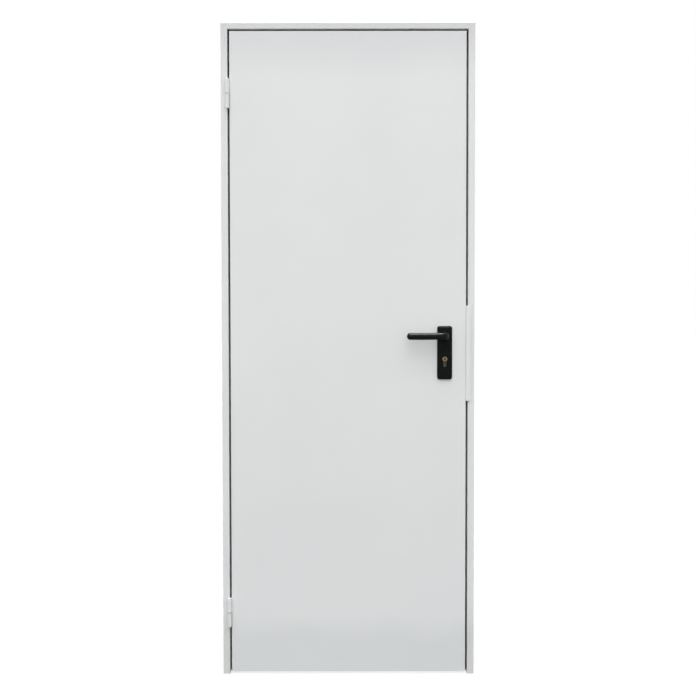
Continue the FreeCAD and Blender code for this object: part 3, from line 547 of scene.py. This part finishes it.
RIM_WIDTH, RIM_OVER, RIM_SHOULDER, RIM_CORNER, RIM_TIGHT = 0.0072, 0.00015, 0.003, 0.007, 0.0004
RIM_STEP, RIM_DROP, RIM_UNDER_IN, RIM_UNDER_UP, RIM_FOOT_IN = 0.00012, 0.0006, 0.0030, 0.0040, 0.0015
COLLAR_INNER, COLLAR_OUTER, COLLAR_HIGH, COLLAR_ROUND = 0.0097, 0.0126, 0.0026, 0.0012
COLLAR_SUNK, COLLAR_EDGE = 0.0003, 0.0004
spindle_low, spindle_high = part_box("spindle")
axis_x, axis_z = (spindle_low.x + spindle_high.x) / 2, (spindle_low.z + spindle_high.z) / 2
for side_name, outward in (("front", -1), ("back", 1)):
    # Plate rim: a quarter ellipse from the plate's edge up to its face, closed underneath
    low, high = (np.array(corner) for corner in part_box(side_name + "_plate"))
    seat = high[1] if outward < 0 else low[1]
    thick = high[1] - low[1]
    rim_in = np.concatenate([
        [-RIM_OVER], RIM_WIDTH - (RIM_WIDTH + RIM_OVER) * np.cos(arc),
        [RIM_WIDTH, RIM_UNDER_IN, RIM_FOOT_IN]])
    rim_up = np.concatenate([
        [0.0], RIM_SHOULDER + (thick + RIM_STEP - RIM_SHOULDER) * np.sin(arc),
        [thick - RIM_DROP, RIM_UNDER_UP, 0.0]])
    middle = (low + high)[[0, 2]] / 2
    half = (high - low)[[0, 2]] / 2
    corner = np.maximum(RIM_CORNER - rim_in, RIM_TIGHT)[:, None, None]
    flat = middle + corner_sign * (half - rim_in[:, None, None] - corner) + corner * corner_turn
    rows = standing(flat, seat + outward * rim_up, outward)
    add_piece(side_name + "_plate_rim", rows, plate_nylon, "leaf", ring=True)

    # Plate collar: a low ring round the lever's neck with a rounded outer edge
    reach = np.concatenate([
        [COLLAR_OUTER], COLLAR_OUTER - COLLAR_ROUND * (1 - np.cos(arc)),
        [COLLAR_INNER + COLLAR_EDGE, COLLAR_INNER, COLLAR_INNER]])
    rise = np.concatenate([
        [-COLLAR_SUNK], COLLAR_HIGH - COLLAR_ROUND * (1 - np.sin(arc)),
        [COLLAR_HIGH, COLLAR_HIGH - COLLAR_EDGE, -COLLAR_SUNK]])
    flat = np.array([axis_x, axis_z]) + oval(1, 1, steps=64) * reach[:, None, None]
    rows = standing(flat, seat + outward * (thick + rise), outward)
    add_piece(side_name + "_plate_collar", rows, plate_nylon, "leaf", ring=True)

    # Lever: straight out of the plate, round the elbow and along to the tip
    low, high = (np.array(corner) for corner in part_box(side_name + "_lever"))
    root_y, end_y = (high[1], low[1]) if outward < 0 else (low[1], high[1])
    grip_y = end_y - outward * LEVER_DEPTH_HALF
    elbow_y = grip_y - outward * ELBOW_RADIUS
    elbow_x = axis_x - ELBOW_RADIUS
    tip_x = low[0] + TIP_LENGTH
    path_x = along_lever(
        axis_x, elbow_x + ELBOW_RADIUS * np.cos(elbow), elbow_x + grip * (tip_x - elbow_x),
        tip_x - TIP_LENGTH * tip)
    path_y = along_lever(
        root_y + neck * (elbow_y - root_y), elbow_y + outward * ELBOW_RADIUS * np.sin(elbow), grip_y, grip_y)
    middles = np.stack([path_x, path_y, np.full_like(path_x, axis_z)], axis=-1)
    side = np.stack([np.cos(heading), outward * np.sin(heading), 0 * heading], axis=-1)
    rows = facing(carried(middles, side, (0, 0, 1), lever_loops), outward)
    lever = add_piece(side_name + "_lever_moulding", rows, lever_nylon, "handle")
    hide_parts(side_name + "_lever")
    domed_head(
        side_name + "_lever_grub_screw", (axis_x, root_y + outward * GRUB_OUT, axis_z - NECK_RADIUS),
        (0, 0, -1), (0, 1, 0), GRUB_RADIUS, GRUB_PROUD, hex_recess, bright_steel, "handle")

PLATE_SCREW_IN, PLATE_SCREW_RADIUS, PLATE_SCREW_PROUD = 0.0130, 0.0040, 0.0012
low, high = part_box("back_plate")
for place_name, screw_z in (("upper", high.z - PLATE_SCREW_IN), ("lower", low.z + PLATE_SCREW_IN)):
    domed_head(
        "back_plate_screw_" + place_name, ((low.x + high.x) / 2, high.y, screw_z), (0, 1, 0), (0, 0, 1),
        PLATE_SCREW_RADIUS, PLATE_SCREW_PROUD, cross_recess, bright_steel, "leaf")

# Lock cylinder: satin brass body with the keyhole outline and a slotted plug at each end, held in the lock
# by its screw. The plugs are paler from use, with painted shade round the key slot.
cylinder_brass = metal_material(
    "cylinder_brass", pale=(0.054, 0.043, 0.027, 1), dull=(0.022, 0.018, 0.011, 1),
    rough_low=0.34, rough_high=0.52)
dress(cylinder_brass, "lock_cylinder")
plug_brass = metal_material(
    "plug_brass", pale=(0.196, 0.163, 0.104, 1), dull=(0.090, 0.074, 0.045, 1),
    rough_low=0.29, rough_high=0.46)

# Painted shade round the key slot: an upright ellipse that fades outwards
KEY_RISE, KEY_STRETCH, KEY_SHADE = 0.0005, (1.0, 0.0, 0.65), (0.008, 0.007, 0.005, 1)
plug_low, plug_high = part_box("front_plug")
key_middle = (plug_low + plug_high) / 2
key_middle.z += KEY_RISE
tree, shader = plug_brass.node_tree, plug_brass.node_tree.nodes["Principled BSDF"]
spot = tree.nodes["Texture Coordinate"].outputs["Object"]
from_key = add_node(tree, "ShaderNodeVectorMath", {0: spot, 1: key_middle}, operation="SUBTRACT")
squeezed = add_node(
    tree, "ShaderNodeVectorMath", {0: from_key.outputs[0], 1: KEY_STRETCH}, operation="MULTIPLY")
distance = add_node(tree, "ShaderNodeVectorMath", {0: squeezed.outputs[0]}, operation="LENGTH")
dark = ramp(tree, distance.outputs["Value"], low=0.0018, high=0.0040, start=0.96, end=0.0)
brass = shader.inputs["Base Color"].links[0].from_socket
tree.links.new(blend_colour(tree, dark, brass, KEY_SHADE), shader.inputs["Base Color"])
dress(plug_brass, "front_plug", "back_plug")

# Studio: pale floor, even light from all round, and soft lights: most from the front, some from the sides
# and behind. The one straight above only makes a gleam and throws no light on matt surfaces.
FLOOR_HALF, FLOOR_GREY = 30.0, 0.25
floor_mesh = bpy.data.meshes.new("floor")
floor_corners = np.array([[-1, -1, 0], [1, -1, 0], [1, 1, 0], [-1, 1, 0]]) * FLOOR_HALF
floor_mesh.from_pydata(floor_corners.tolist(), [], [(0, 1, 2, 3)])
floor = bpy.data.objects.new("floor", floor_mesh)
bpy.context.collection.objects.link(floor)


def seen_directly(tree):
    """1 for rays that come from the camera, straight or by a mirror or glass, and 0 for light on its way."""
    path = add_node(tree, "ShaderNodeLightPath").outputs
    straight = maths(tree, "MAXIMUM", path["Is Camera Ray"], path["Is Glossy Ray"])
    return maths(tree, "MAXIMUM", straight, path["Is Transmission Ray"])


floor_material = bpy.data.materials.new("pale_floor")
floor_material.use_nodes = True
tree = floor_material.node_tree
tree.nodes.clear()
matt = add_node(tree, "ShaderNodeBsdfDiffuse", {"Color": (FLOOR_GREY, FLOOR_GREY, FLOOR_GREY, 1)})
glow = add_node(
    tree, "ShaderNodeEmission", {"Strength": maths(tree, "MULTIPLY", seen_directly(tree), 1 - FLOOR_GREY)})
both = add_node(tree, "ShaderNodeAddShader", {0: matt.outputs[0], 1: glow.outputs[0]})
add_node(tree, "ShaderNodeOutputMaterial", {"Surface": both.outputs[0]})
floor_mesh.materials.append(floor_material)

SKY_LIGHT = 0.18
world = bpy.data.worlds.new("studio")
bpy.context.scene.world = world
world.use_nodes = True
tree = world.node_tree
sky = tree.nodes["Background"]
sky.inputs["Color"].default_value = (1, 1, 1, 1)
strength = add_node(
    tree, "ShaderNodeMapRange", {"Value": seen_directly(tree), "To Min": SKY_LIGHT, "To Max": 1.0})
tree.links.new(strength.outputs["Result"], sky.inputs["Strength"])


def soft_light(name, strength, width, slope, turn):
    """A soft light by angles: the width it fills, its slope from straight down, its turn from the front."""
    lamp = bpy.data.lights.new(name, "SUN")
    lamp.energy = strength
    lamp.angle = math.radians(width)
    holder = bpy.data.objects.new(name, lamp)
    holder.rotation_euler = (math.radians(slope), 0, math.radians(turn))
    bpy.context.collection.objects.link(holder)
    return holder


soft_light("front_light_high", strength=1.00, width=50, slope=25, turn=0)
soft_light("front_light_middle", strength=1.18, width=76, slope=40, turn=0)
soft_light("front_light_low", strength=0.83, width=80, slope=60, turn=0)
soft_light("front_light_level", strength=0.24, width=60, slope=80, turn=0)
soft_light("left_light", strength=1.10, width=60, slope=80, turn=-90)
soft_light("right_light", strength=1.10, width=60, slope=80, turn=90)
soft_light("back_light", strength=1.90, width=60, slope=76, turn=180)
gleam = soft_light("top_gleam", strength=18.0, width=26, slope=6, turn=0)
gleam.visible_diffuse = False

# Camera: the photograph's own viewpoint, 4 m in front of the door and a little above its middle.
# It looks down by a little over 2 degrees and leans by a trace.
CAMERA_SPOT, CAMERA_DOWN, CAMERA_LEAN = (0.3945, -4.015, 1.1951), 2.359, 0.06
camera_data = bpy.data.cameras.new("camera")
camera_data.sensor_width = 36.0
camera_data.lens = 66.20
camera = bpy.data.objects.new("camera", camera_data)
camera.location = CAMERA_SPOT
camera.rotation_euler = (math.radians(90 - CAMERA_DOWN), math.radians(CAMERA_LEAN), 0)
bpy.context.collection.objects.link(camera)
bpy.context.scene.camera = camera
bpy.context.scene.view_settings.view_transform = "Standard"
